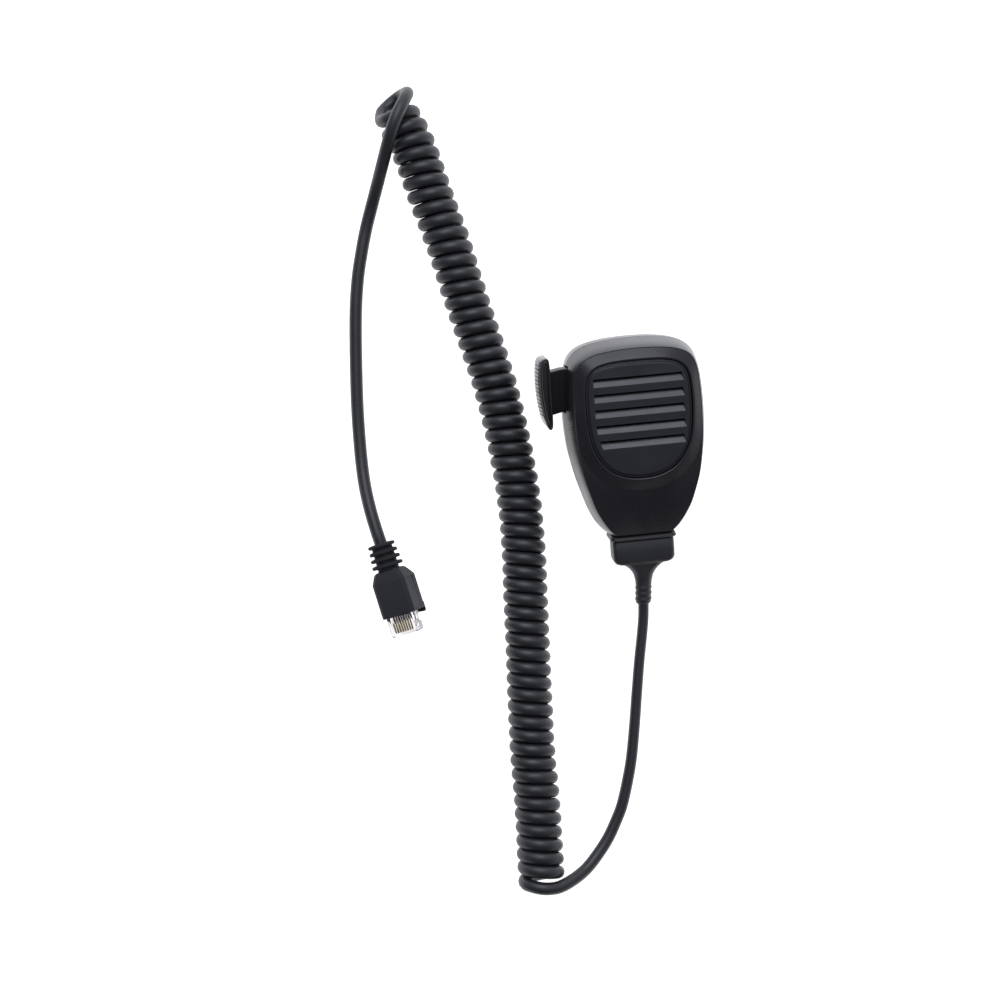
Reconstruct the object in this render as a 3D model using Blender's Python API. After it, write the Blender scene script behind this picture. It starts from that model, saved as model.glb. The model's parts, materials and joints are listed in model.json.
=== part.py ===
"""Hand microphone for a transceiver, with a coiled cord and an eight-way modular plug.

Metres, +Z up. The microphone lies on its back on the floor. Its own frame is
u across to the right, v up the case and w out of the front, in millimetres.
"""

import math

import bpy
import bmesh
from mathutils import Matrix, Vector

MM = 0.001

# Resting pose: columns are the directions of u, v and w.
REST_RIGHT = (0.9914, 0.0979, -0.0872)
REST_UP = (-0.0785, 0.9759, 0.2036)
REST_OUT = (0.1050, -0.1950, 0.9752)
MIC_AT = (5.3, 26.9, 21.95)

# Case outline, right half, from the top centre to the neck.
OUTLINE = (
    (3.5, 24.9), (10.0, 24.5), (15.5, 23.6), (19.5, 22.3), (22.4, 20.5),
    (24.5, 18.0), (25.7, 15.0), (26.6, 11.2), (27.2, 6.0), (27.6, 0.0),
    (27.6, -6.0), (27.3, -12.0), (26.7, -18.0), (25.6, -24.0), (24.2, -30.0),
    (22.4, -36.0), (20.8, -41.0), (18.6, -45.8), (16.2, -49.2), (14.0, -51.7),
    (12.4, -52.8),
)
FRONT_TOP = 13.6
FRONT_NECK_DROP = 7.0
BACK = 17.0
BACK_NECK_RISE = 7.4
WALL = 2.0
NECK_V = -52.8
FRONT_LEVELS = ((0.0, 0.0), (0.3, 0.15), (0.6, 0.75), (0.82, 1.6), (0.94, 2.4), (1.0, 3.4))
BACK_LEVELS = ((0.0, 0.0), (0.35, 0.2), (0.7, 0.9), (0.88, 1.8), (0.97, 3.0), (1.0, 4.2))

# Window for the grille panel, right half from the top centre to the bottom centre.
WINDOW = (
    (0.0, 18.0), (7.0, 17.9), (12.8, 17.2), (17.0, 15.6), (19.4, 12.8),
    (20.4, 8.6), (20.7, 3.0), (20.7, -3.0), (20.3, -8.6), (19.3, -13.6),
    (17.4, -18.4), (14.4, -22.6), (10.4, -25.7), (5.6, -27.4), (0.0, -28.0),
)
# Foot of the raised surround, matched point for point with the window.
FOOT = (
    (0.0, 21.3), (8.6, 21.0), (15.6, 20.0), (20.2, 17.8), (22.5, 14.2),
    (23.5, 9.6), (24.0, 3.6), (24.0, -3.4), (23.9, -10.0), (23.4, -16.0),
    (20.9, -22.8), (16.9, -27.4), (11.6, -30.4), (5.8, -31.9), (0.0, -32.4),
)
PANEL_FRONT = 15.7
SURROUND_FRONT = 16.0
LOUVRES = (12.0, 6.0, 0.0, -6.2, -12.2)
LOUVRE_HALF = 17.0

CASE_SCREWS = ((-18.2, 16.6), (18.2, 16.6), (-15.0, -38.0), (15.0, -38.0))
BOARD_SCREWS = ((13.5, 9.5), (-9.5, -29.5))
CLAMP_SCREWS = ((-6.4, -45.0), (6.4, -45.0))
STUD_V = 14.0
CORD_W = -1.5

# Push-to-talk paddle, outer edge from the top tip to the bottom tip.
PADDLE_OUTER = (
    (-33.4, 20.3), (-34.9, 19.8), (-35.9, 18.2), (-36.5, 15.0), (-36.7, 11.0),
    (-36.7, 7.0), (-36.4, 3.0), (-35.9, -1.0), (-35.1, -4.6), (-34.2, -7.2),
)
PADDLE_INNER = ((-33.3, -7.6), (-32.5, -6.6), (-32.3, 0.0), (-32.2, 10.0), (-32.2, 19.0))

# Coiled cord and tails: route points in millimetres on the floor frame.
CORD_D = 5.0
COIL_D = 17.5
COIL_ROUTE = (
    (-81.4, 128.3, 8.9), (-73.5, 106.8, 8.9), (-67.5, 91.0, 8.9), (-62.4, 75.1, 8.9),
    (-57.2, 59.3, 8.9), (-51.7, 43.4, 8.9), (-46.9, 27.6, 8.9), (-42.4, 7.8, 8.9),
    (-39.0, -12.0, 8.9), (-37.2, -31.8, 8.9), (-36.4, -51.6, 8.9), (-35.5, -71.4, 8.9),
    (-34.7, -91.2, 8.9), (-33.7, -111.0, 8.9), (-31.9, -130.8, 8.9), (-30.7, -150.6, 8.9),
    (-30.3, -160.7, 8.9),
)
MIC_TAIL = (
    (11.6, -53.2, 3.75), (11.4, -58.3, 3.0), (10.6, -65.3, 2.7), (9.1, -76.2, 2.6),
    (8.0, -89.0, 2.6), (7.1, -101.7, 2.6), (5.9, -114.5, 2.6), (4.3, -124.1, 2.6), (2.1, -133.7, 2.6),
    (-0.3, -140.0, 2.6), (-3.3, -146.4, 2.8), (-7.1, -152.1, 3.6), (-11.9, -156.9, 5.4),
    (-16.9, -159.5, 7.6), (-20.9, -160.3, 8.6),
)
PLUG_TAIL = (
    (-84.5, 136.7, 8.9), (-85.3, 142.3, 7.4), (-84.7, 147.3, 9.4), (-83.3, 148.3, 14.6),
    (-83.9, 143.9, 19.6), (-86.1, 138.3, 21.2), (-88.3, 132.5, 21.0), (-90.3, 126.5, 18.6),
    (-92.5, 120.9, 14.4), (-94.9, 113.9, 9.0), (-97.5, 105.5, 4.4), (-100.0, 96.1, 2.7),
    (-101.8, 86.5, 2.6), (-103.2, 77.0, 2.6), (-104.0, 65.4, 2.6), (-104.1, 51.4, 2.6),
    (-103.7, 31.9, 2.6), (-103.0, 17.9, 2.8), (-101.7, 3.5, 4.0), (-100.1, -7.0, 6.2),
    (-97.7, -16.7, 9.0), (-94.8, -25.7, 11.0), (-93.8, -28.8, 11.3),
)
# Plug frame: x across, y back towards the cord, z out of the contact side.
PLUG_AT = (-93.7, -29.1, 11.0)
PLUG_TURN = 17.4
PLUG_ROLL = 16.0
NOSE = -37.2
HOOD_MOUTH = -29.2
CONTACT_PITCH = 1.02
LATCH_HINGE = (0.0, -36.3, -3.4)


def clear_scene():
    for obj in list(bpy.data.objects):
        bpy.data.objects.remove(obj, do_unlink=True)


def material(name, colour, roughness, metallic=0.0):
    made = bpy.data.materials.new(name)
    made.use_nodes = True
    shader = made.node_tree.nodes["Principled BSDF"]
    shader.inputs["Base Color"].default_value = (*colour, 1.0)
    shader.inputs["Roughness"].default_value = roughness
    shader.inputs["Metallic"].default_value = metallic
    made.diffuse_color = (*colour, 1.0)
    return made


def empty(name, matrix):
    made = bpy.data.objects.new(name, None)
    made.matrix_world = matrix
    bpy.context.scene.collection.objects.link(made)
    return made


def frame_matrix(right, up, out, at):
    rows = zip(right, up, out, at)
    return Matrix([(a, b, c, d * MM) for a, b, c, d in rows] + [(0, 0, 0, 1)])


def make(name, parent, points, faces, slot=None, origin=(0.0, 0.0, 0.0), angle=40.0):
    mesh = bpy.data.meshes.new(name)
    start = Vector(origin)
    mesh.from_pydata([(Vector(p) - start) * MM for p in points], [], faces)
    tidy = bmesh.new()
    tidy.from_mesh(mesh)
    bmesh.ops.recalc_face_normals(tidy, faces=tidy.faces)
    tidy.to_mesh(mesh)
    tidy.free()
    mesh.shade_smooth()
    mesh.set_sharp_from_angle(angle=math.radians(angle))
    made = bpy.data.objects.new(name, mesh)
    made.parent = parent
    made.location = start * MM
    bpy.context.scene.collection.objects.link(made)
    if slot is None:
        made.hide_render = True
        made.display_type = "WIRE"
    else:
        mesh.materials.append(slot)
    return made


def loft(rings):
    """Points and faces of a closed body through rings of equal count."""
    count = len(rings[0])
    points = [p for ring in rings for p in ring]
    faces = [tuple(range(count)), tuple(range(len(points) - count, len(points)))]
    for k in range(len(rings) - 1):
        for i in range(count):
            j = (i + 1) % count
            faces.append((k * count + i, k * count + j, (k + 1) * count + j, (k + 1) * count + i))
    return points, faces


def boolean(body, other, operation):
    made = body.modifiers.new(other.name, "BOOLEAN")
    made.operation = operation
    made.solver = "EXACT"
    made.object = other
    return body


def cut(body, other):
    return boolean(body, other, "DIFFERENCE")


def join(body, other):
    return boolean(body, other, "UNION")


def box(low, high):
    (a, b, c), (d, e, f) = low, high
    ring = ((a, b), (d, b), (d, e), (a, e))
    return loft([[(x, y, z) for x, y in ring] for z in (c, f)])


def rounded(half_x, half_y, radius, steps=3):
    """Outline of a rectangle with rounded corners, centred on the origin."""
    corners = ((1, 1, 0), (-1, 1, 90), (-1, -1, 180), (1, -1, 270))
    outline = []
    for sx, sy, start in corners:
        for k in range(steps + 1):
            turn = math.radians(start + 90 * k / steps)
            x = sx * (half_x - radius) + radius * math.cos(turn)
            y = sy * (half_y - radius) + radius * math.sin(turn)
            outline.append((x, y))
    return outline


def lathe(profile, sides, centre=(0.0, 0.0), axis="w", turn=0.0):
    """Body of revolution: profile is (radius, position along the axis)."""
    rings = []
    for radius, along in profile:
        ring = []
        for k in range(sides):
            angle = 2 * math.pi * (k + turn) / sides
            x = centre[0] + radius * math.cos(angle)
            y = centre[1] + radius * math.sin(angle)
            place = {"w": (x, y, along), "v": (x, along, y), "u": (along, x, y)}[axis]
            ring.append(place)
        rings.append(ring)
    return loft(rings)


def half_normals(half):
    """Outward direction at each point of a right-half outline."""
    found = []
    for i, (x, y) in enumerate(half):
        before = half[i - 1] if i else (-x, y)
        after = half[i + 1] if i + 1 < len(half) else half[i]
        dx, dy = after[0] - before[0], after[1] - before[1]
        size = math.hypot(dx, dy)
        found.append((-dy / size, dx / size))
    return found


def inset_half(half, inset, end_v=None):
    """Right-half outline moved inwards; the neck end keeps its height."""
    moved = []
    for (x, y), (nx, ny) in zip(half, half_normals(half)):
        moved.append((x - inset * nx, y - inset * ny))
    last_v = half[-1][1] if end_v is None else end_v
    moved[-1] = (moved[-1][0], last_v)
    return moved


def neck_share(v, start, span):
    return min(1.0, max(0.0, (start - v) / span))


def front_height(v):
    return FRONT_TOP - FRONT_NECK_DROP * neck_share(v, -22.0, 30.8) ** 1.6


def back_height(v):
    return -BACK + BACK_NECK_RISE * neck_share(v, -2.0, 50.8) ** 1.3


def case_body(levels, height, start_w, inset=0.0, shift=0.0, end_v=None, crown=0.0):
    """Closed body from the parting face to a capped face, ring by ring."""
    rings = []
    for share, more in levels:
        half = inset_half(OUTLINE, inset + more, end_v)
        right = [(x, y, start_w + share * (height(y) + shift - start_w)) for x, y in half]
        left = [(-x, y, w) for x, y, w in reversed(right)]
        rings.append(right + left)
    points = [p for ring in rings for p in ring]
    count = len(rings[0])
    faces = [tuple(range(count))]
    top = (len(rings) - 1) * count
    rows = count // 2
    columns = []
    for i in range(rows):
        x, y, w = rings[-1][i]
        row = [top + i]
        for share in (0.5, 0.0, -0.5):
            row.append(len(points))
            points.append((x * share, y, w + crown * (1 - share * share)))
        row.append(top + count - 1 - i)
        columns.append(row)
    for k in range(len(rings) - 1):
        for i in range(count):
            j = (i + 1) % count
            face = [k * count + i, k * count + j, (k + 1) * count + j]
            if k == len(rings) - 2 and i == rows - 1:
                face += list(reversed(columns[-1][1:-1]))
            if k == len(rings) - 2 and i == count - 1:
                face += columns[0][1:-1]
            faces.append(tuple(face + [(k + 1) * count + i]))
    for i in range(rows - 1):
        for c in range(4):
            here, there = columns[i], columns[i + 1]
            faces.append((here[c], here[c + 1], there[c + 1], there[c]))
    return points, faces


def mirrored(half):
    """Closed outline from a right half whose ends lie on the centre line."""
    return list(half) + [(-x, y) for x, y in reversed(half[1:-1])]


def grown(half, more):
    """Right half moved outwards, its end points kept on the centre line."""
    moved = []
    for i, (x, y) in enumerate(half):
        before = half[i - 1] if i else (-half[1][0], half[1][1])
        after = half[i + 1] if i + 1 < len(half) else (-half[-2][0], half[-2][1])
        dx, dy = after[0] - before[0], after[1] - before[1]
        size = math.hypot(dx, dy)
        moved.append((x - more * dy / size, y + more * dx / size))
    moved[0] = (0.0, moved[0][1])
    moved[-1] = (0.0, moved[-1][1])
    return moved


def plate(half, levels):
    """Body through window-shaped outlines: levels are (growth, w)."""
    return loft([[(x, y, w) for x, y in mirrored(grown(half, more))] for more, w in levels])


def post(centre, radius, low, high, sides=16):
    return lathe(((radius, low), (radius, high)), sides, centre, turn=0.3)


def front_case(mic, slot):
    body = make("front_case", mic, *case_body(FRONT_LEVELS, front_height, 0.15, crown=0.25), slot)
    foot = [(x, y, front_height(y) - 1.0) for x, y in mirrored(FOOT)]
    rim = [(x, y, SURROUND_FRONT) for x, y in mirrored(grown(WINDOW, 0.8))]
    join(body, make("surround", mic, *loft([foot, rim])))
    hollow = case_body(
        ((0.0, 0.0), (0.75, 0.6), (1.0, 2.0)), front_height, -1.0, WALL, -WALL, NECK_V + WALL
    )
    cut(body, make("front_hollow", mic, *hollow))
    cut(body, make("window", mic, *plate(WINDOW, ((0.0, 5.0), (0.0, 20.0)))))
    for i, (u, v) in enumerate(CASE_SCREWS):
        top = 9.4 if v > 0 else 10.4
        join(body, make(f"front_post_{i}", mic, *post((u, v), 2.6, 0.45, top)))
        if v > 0:
            web = box((u - 0.8, v, 0.45), (u + 0.8, v + 5.3, 9.4))
            join(body, make(f"front_web_{i}", mic, *web))
        cut(body, make(f"front_pilot_{i}", mic, *post((u, v), 1.7, -1.0, 7.2)))
    cut(body, make("front_slot", mic, *box((-30.0, -2.1, -1.0), (-22.0, 15.3, 3.8))))
    cut(body, make("front_exit", mic, *box((-6.3, -54.5, -1.0), (6.3, -49.5, 3.6))))
    return body


def rear_case(mic, slot):
    body = make("rear_case", mic, *case_body(BACK_LEVELS, back_height, -0.15), slot)
    hollow = case_body(
        ((0.0, 0.0), (0.75, 0.6), (1.0, 2.0)), back_height, 1.0, WALL, WALL, NECK_V + WALL
    )
    cut(body, make("rear_hollow", mic, *hollow))
    for i, (u, v) in enumerate(CASE_SCREWS):
        low = -15.6 if v > 0 else back_height(v) + 1.4
        join(body, make(f"rear_post_{i}", mic, *post((u, v), 3.3, low, -0.45)))
        head = low + 3.4
        cut(body, make(f"rear_head_{i}", mic, *post((u, v), 2.7, -20.0, head)))
        cut(body, make(f"rear_hole_{i}", mic, *post((u, v), 1.7, head - 1.0, 2.0)))
    for i, (u, v) in enumerate(BOARD_SCREWS):
        join(body, make(f"board_post_{i}", mic, *post((u, v), 2.2, back_height(v) + 1.0, -7.9, 12)))
        cut(body, make(f"board_pilot_{i}", mic, *post((u, v), 1.2, back_height(v) + 2.6, -6.0, 12)))
    for i, (u, v) in enumerate(CLAMP_SCREWS):
        join(body, make(f"clamp_post_{i}", mic, *post((u, v), 2.2, back_height(v) + 1.0, 0.6, 12)))
        cut(body, make(f"clamp_pilot_{i}", mic, *post((u, v), 1.3, -7.6, 2.0, 12)))
    cut(body, make("stud_hole", mic, *post((0.0, STUD_V), 1.9, -20.0, -12.0)))
    cut(body, make("rear_slot", mic, *box((-30.0, -2.1, -3.8), (-22.0, 15.3, 1.0))))
    cut(body, make("rear_exit", mic, *box((-6.3, -54.5, -6.6), (6.3, -49.5, 1.0))))
    return body


def louvre(name, mic, v, cut_from):
    """Sound slot at the top edge, with a floor that rises to the surface below."""
    floor = ((v - 0.9, 12.0), (v - 0.9, 13.9), (v - 3.2, PANEL_FRONT), (v - 3.2, 17.0))
    side = ((v, 17.0), (v, 12.0)) + floor
    ends = [[(u, a, b) for a, b in side] for u in (-LOUVRE_HALF, LOUVRE_HALF)]
    cut(cut_from, make(name, mic, *loft(ends)))


def grille_panel(mic, slot):
    skirt = ((-0.35, 10.2), (-0.35, 15.1), (-0.75, PANEL_FRONT))
    body = make("grille_panel", mic, *plate(WINDOW, skirt), slot)
    join(body, make("panel_flange", mic, *plate(WINDOW, ((1.3, 9.8), (1.3, 10.6)))))
    cut(body, make("panel_pocket", mic, *plate(WINDOW, ((-2.4, 9.0), (-2.4, 13.0)))))
    for i, v in enumerate(LOUVRES):
        louvre(f"louvre_{i}", mic, v, body)
    return body


def strain_relief(mic, slot):
    """Rubber gland: flange inside the case, lip, block and ribbed sleeve."""
    lip = [(x, y + CORD_W - 0.6) for x, y in rounded(13.1, 6.6, 2.0)]
    block = [(x, y + CORD_W) for x, y in rounded(12.2, 5.4, 2.2)]
    foot = [(x, y + CORD_W) for x, y in rounded(11.0, 4.4, 2.0)]

    def at(outline, v):
        return [(x, v, w) for x, w in outline]

    levels = [at(block, -54.6), at(block, -64.2), at(foot, -65.4)]
    body = make("strain_relief", mic, *loft(levels), slot)
    join(body, make("relief_lip", mic, *loft([at(lip, -53.1), at(lip, -54.9)])))
    join(body, make("relief_neck", mic, *box((-6.0, -53.5, -6.3), (6.0, -49.5, 3.3))))
    join(body, make("relief_flange", mic, *box((-8.4, -50.5, -7.4), (8.4, -48.9, 4.4))))
    sleeve = [
        (4.6, -65.0), (4.6, -67.6), (4.2, -68.8), (3.6, -70.6), (3.2, -72.8), (3.05, -75.0),
        (3.4, -75.4), (3.4, -76.1), (3.0, -76.5), (3.0, -77.4), (3.35, -77.8), (3.35, -78.5),
        (2.95, -78.9), (2.95, -79.9), (3.4, -80.3), (3.4, -81.2), (2.9, -81.7),
    ]
    join(body, make("relief_sleeve", mic, *lathe(sleeve, 20, (0.0, CORD_W), "v")))
    funnel = ((8.3, 4.2, -65.2), (6.6, 4.1, -66.4), (5.2, 4.0, -67.8), (4.3, 3.8, -69.2), (3.3, 3.2, -71.6))
    rings = []
    for half, deep, v in funnel:
        rings.append([(x, v, w + CORD_W) for x, w in rounded(half, deep, deep - 0.3)])
    join(body, make("relief_funnel", mic, *loft(rings)))
    return body


def ptt_button(mic, slot):
    """Ribbed paddle on a rectangular stem, held in the case by a flange."""
    outline = PADDLE_OUTER + PADDLE_INNER
    rings = []
    for w, flare, shrink in ((-7.0, -0.5, 0.9), (-6.2, -0.9, 1.0), (5.9, 0.0, 1.0), (6.6, 0.5, 0.92)):
        ring = []
        for i, (u, v) in enumerate(outline):
            out = flare if 1 < i < 8 else 0.0
            ring.append((u + out, 6.4 + (v - 6.4) * shrink, w))
        rings.append(ring)
    body = make("ptt_button", mic, *loft(rings), slot, (-34.0, 6.4, 0.0))
    side = ((-33.0, -1.8), (-22.8, -1.8), (-22.8, 12.4), (-24.2, 15.0), (-33.0, 15.0))
    stem = [[(u, v, w) for u, v in side] for w in (-3.5, 3.5)]
    join(body, make("ptt_stem", mic, *loft(stem)))
    join(body, make("ptt_flange", mic, *box((-23.9, -4.4, -5.0), (-22.8, 10.4, 5.0))))
    join(body, make("ptt_nib", mic, *lathe(((1.6, -23.4), (1.6, -22.0)), 12, (6.6, 0.0), "u")))
    for k in range(14):
        v = 17.2 - 1.5 * k
        deep = -36.3 + 0.0085 * (v - 9.0) ** 2
        edge = deep - 0.8
        notch = ((-40.0, v + 0.4), (edge, v + 0.4), (deep, v), (edge, v - 0.4), (-40.0, v - 0.4))
        groove = [[(u + 0.06 * (w - 6.0), a, w) for u, a in notch] for w in (-9.0, 9.0)]
        cut(body, make(f"ptt_groove_{k}", mic, *loft(groove)))
    return body


def ptt_switch(mic, board_top, slots):
    low, high = (-17.4, 1.6, board_top), (-12.9, 11.6, 3.4)
    body = make("ptt_switch", mic, *box(low, high), slots["black"])
    cut(body, make("plunger_hole", mic, *box((-18.4, 4.6, -2.0), (-13.7, 8.6, 2.0))))
    rod = box((-21.7, 4.9, -1.7), (-16.2, 8.3, 1.7))
    plunger = make("ptt_plunger", mic, *rod, slots["ivory"], (-21.7, 6.6, 0.0))
    return body, plunger


def ptt_spring(mic, slot):
    """Compression spring between the button's flange and the switch body."""
    turns, steps, radius = 2.5, 12, 3.0
    count = int(turns * steps)
    route = []
    for k in range(count + 1):
        angle = 2 * math.pi * k / steps
        along, across, out = 4.3 * k / count, radius * math.cos(angle), radius * math.sin(angle)
        route.append((-22.2 + along, 6.6 + across, out))
    return tube("ptt_spring", mic, route, 0.5, slot, resolution=0)


def tube(name, parent, route, diameter, slot, resolution=2):
    curve = bpy.data.curves.new(name, "CURVE")
    curve.dimensions = "3D"
    line = curve.splines.new("POLY")
    line.points.add(len(route) - 1)
    for point, place in zip(line.points, route):
        point.co = (*(Vector(place) * MM), 1.0)
    curve.bevel_depth = diameter * MM / 2
    curve.bevel_resolution = resolution
    curve.use_fill_caps = True
    curve.materials.append(slot)
    made = bpy.data.objects.new(name, curve)
    made.parent = parent
    bpy.context.scene.collection.objects.link(made)
    return made


def smooth(points, step):
    """Points at even steps along a smooth curve through the given ones."""
    given = [Vector(p) for p in points]
    given = [2 * given[0] - given[1]] + given + [2 * given[-1] - given[-2]]
    dense = []
    for i in range(1, len(given) - 2):
        a, b, c, d = given[i - 1:i + 3]
        for k in range(16):
            t = k / 16
            square, cube = 2 * a - 5 * b + 4 * c - d, 3 * b - a - 3 * c + d
            dense.append(0.5 * (2 * b + (c - a) * t + square * t ** 2 + cube * t ** 3))
    dense.append(given[-2])
    total = sum((q - p).length for p, q in zip(dense, dense[1:]))
    count = max(2, round(total / step))
    wanted, kept, run = total / count, [dense[0]], 0.0
    for p, q in zip(dense, dense[1:]):
        run += (q - p).length
        if run >= wanted * len(kept) - 1e-6 and len(kept) < count:
            kept.append(q)
    return kept + [dense[-1]]


def screw(name, parent, centre, slot, head, shaft):
    """Pan-head screw: head and shaft are (radius, low, high) along w."""
    head_r, head_a, head_b = head
    shaft_r, shaft_a, shaft_b = shaft
    if shaft_a < head_a:
        profile = ((shaft_r, shaft_a), (shaft_r, head_a), (head_r, head_a), (head_r, head_b))
    else:
        profile = ((head_r, head_a), (head_r, head_b), (shaft_r, head_b), (shaft_r, shaft_b))
    return make(name, parent, *lathe(profile, 14, centre), slot)


def fasteners(mic, slots):
    for i, centre in enumerate(CASE_SCREWS):
        low = -15.6 if centre[1] > 0 else back_height(centre[1]) + 1.4
        seat = low + 3.1
        screw(f"case_screw_{i + 1}", mic, centre, slots["steel"], (2.4, seat - 2.1, seat), (1.4, seat, 6.6))
    for i, centre in enumerate(BOARD_SCREWS):
        screw(f"board_screw_{i + 1}", mic, centre, slots["steel"], (2.0, -5.7, -4.6), (0.9, -10.6, -5.7))
    for i, centre in enumerate(CLAMP_SCREWS):
        screw(f"clamp_screw_{i + 1}", mic, centre, slots["steel"], (2.0, 2.5, 3.6), (1.0, -6.6, 2.5))


def hang_up(mic, slots):
    """Metal hang-up button on the back, its backing plate and its screw."""
    at = (0.0, STUD_V)
    profile = ((3.4, -17.3), (3.4, -21.2), (6.3, -21.4), (7.0, -22.0), (7.0, -23.3), (6.3, -24.0))
    stud = make("hang_up_button", mic, *lathe(profile, 32, at), slots["nickel"])
    cut(stud, make("stud_thread", mic, *post(at, 1.8, -22.0, -16.0)))
    sheet = box((-6.0, STUD_V - 4.0, -14.7), (6.0, STUD_V + 4.0, -13.5))
    plate_body = make("hang_up_plate", mic, *sheet, slots["steel"])
    cut(plate_body, make("plate_hole", mic, *post(at, 1.9, -16.0, -12.0)))
    screw("hang_up_screw", mic, at, slots["steel"], (3.0, -13.2, -11.6), (1.4, -21.6, -13.2))


def sound_parts(mic, slots):
    """Dust cloth, element and the rubber cup that holds the element."""
    make("dust_cloth", mic, *plate(WINDOW, ((-2.8, 12.1), (-2.8, 12.7))), slots["cloth"])
    cup = make("element_cup", mic, *lathe(((12.0, -5.7), (12.0, 11.0), (11.5, 11.5)), 28), slots["rubber"])
    cut(cup, make("cup_hollow", mic, *lathe(((9.3, 2.8), (9.3, 14.0)), 28)))
    profile = ((8.2, 3.1), (9.0, 3.5), (9.0, 10.2), (8.4, 10.8), (4.4, 10.8), (4.0, 10.3))
    make("mic_element", mic, *lathe(profile, 28), slots["steel"])


def electronics(mic, slots):
    board = make("circuit_board", mic, *box((-17.5, -33.0, -7.6), (17.5, 12.5, -6.0)), slots["board"])
    for i, centre in enumerate(BOARD_SCREWS):
        cut(board, make(f"board_hole_{i}", mic, *post(centre, 1.2, -9.0, -4.0, 12)))
    make("cord_connector", mic, *box((-5.6, -32.0, -5.7), (5.6, -26.0, -1.0)), slots["ivory"])
    clamp = make("cord_clamp", mic, *box((-9.0, -46.8, 0.9), (9.0, -43.2, 2.2)), slots["steel"])
    for i, centre in enumerate(CLAMP_SCREWS):
        cut(clamp, make(f"clamp_hole_{i}", mic, *post(centre, 1.3, -1.0, 4.0, 12)))
    route = smooth(((0, -48.4, CORD_W), (0, -43.0, CORD_W), (0, -37.0, -2.6), (0, -32.4, -3.3)), 3.0)
    tube("inner_cord", mic, route, 4.0, slots["jacket"])


def plug_boot(plug, slot):
    """Moulded boot: block around the plug body, latch guard and ribbed tail."""
    def section(y, half, low, high, edge):
        middle, rise = (low + high) / 2, (high - low) / 2
        return [(x, y, middle + z) for x, z in rounded(half, rise, edge, 2)]

    levels = [
        section(-11.2, 5.2, -5.6, 4.8, 1.4), section(-11.9, 5.5, -6.2, 5.2, 1.2),
        section(-15.0, 6.9, -9.6, 6.2, 0.9), section(HOOD_MOUTH, 6.9, -9.6, 6.2, 0.9),
    ]
    body = make("plug_boot", plug, *loft(levels), slot)
    guard = [section(y, 6.9, -9.6, -8.0, 0.5) for y in (-28.0, -30.9)]
    join(body, make("latch_guard", plug, *loft(guard)))
    profile = [(3.4, 0.0)]
    for k in range(4):
        y, rib = -0.2 - 2.7 * k, 5.5 + 0.27 * k
        profile += [(rib - 1.4, y), (rib - 0.1, y - 0.6), (rib, y - 1.2)]
        profile += [(rib - 0.3, y - 1.6), (rib - 1.3, y - 1.8)]
    profile.append((5.0, -12.6))
    join(body, make("boot_ribs", plug, *lathe(profile, 20, (0.0, 0.0), "v")))
    cut(body, make("boot_pocket", plug, *box((-6.15, -34.0, -3.0), (6.15, -16.2, 4.2))))
    cut(body, make("latch_room", plug, *box((-3.8, -34.0, -7.9), (3.8, -18.0, -2.0))))
    return body


def plug_parts(plug, slots):
    plug_boot(plug, slots["jacket"])
    body = make("plug_body", plug, *box((-5.84, NOSE, -2.7), (5.84, -16.5, 3.9)), slots["clear"])
    cut(body, make("contact_recess", plug, *box((-4.2, NOSE + 0.9, 2.5), (4.2, NOSE + 5.8, 6.0))))
    for k in range(8):
        x = (k - 3.5) * CONTACT_PITCH
        blade = box((x - 0.2, NOSE + 1.2, 2.8), (x + 0.2, NOSE + 5.4, 3.7))
        make(f"plug_contact_{k + 1}", plug, *blade, slots["gold"])
    stations = ((-36.9, 3.0, -3.1), (-36.0, 3.0, -3.1), (-30.6, 3.0, -4.4), (-30.3, 1.7, -4.5), (-21.6, 1.7, -6.7))
    rings = []
    for y, half, top in stations:
        low = top - 0.9
        rings.append([(-half, y, top), (half, y, top), (half, y, low), (-half, y, low)])
    make("plug_latch", plug, *loft(rings), slots["clear"], LATCH_HINGE)


def cord(slots):
    tube("cord_coil", None, smooth(COIL_ROUTE, 14.0), COIL_D, slots["jacket"], 4)
    tube("cord_mic_tail", None, smooth(MIC_TAIL, 6.0), CORD_D - 0.6, slots["jacket"], 3)
    tube("cord_plug_tail", None, smooth(PLUG_TAIL, 5.0), CORD_D, slots["jacket"], 3)


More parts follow.
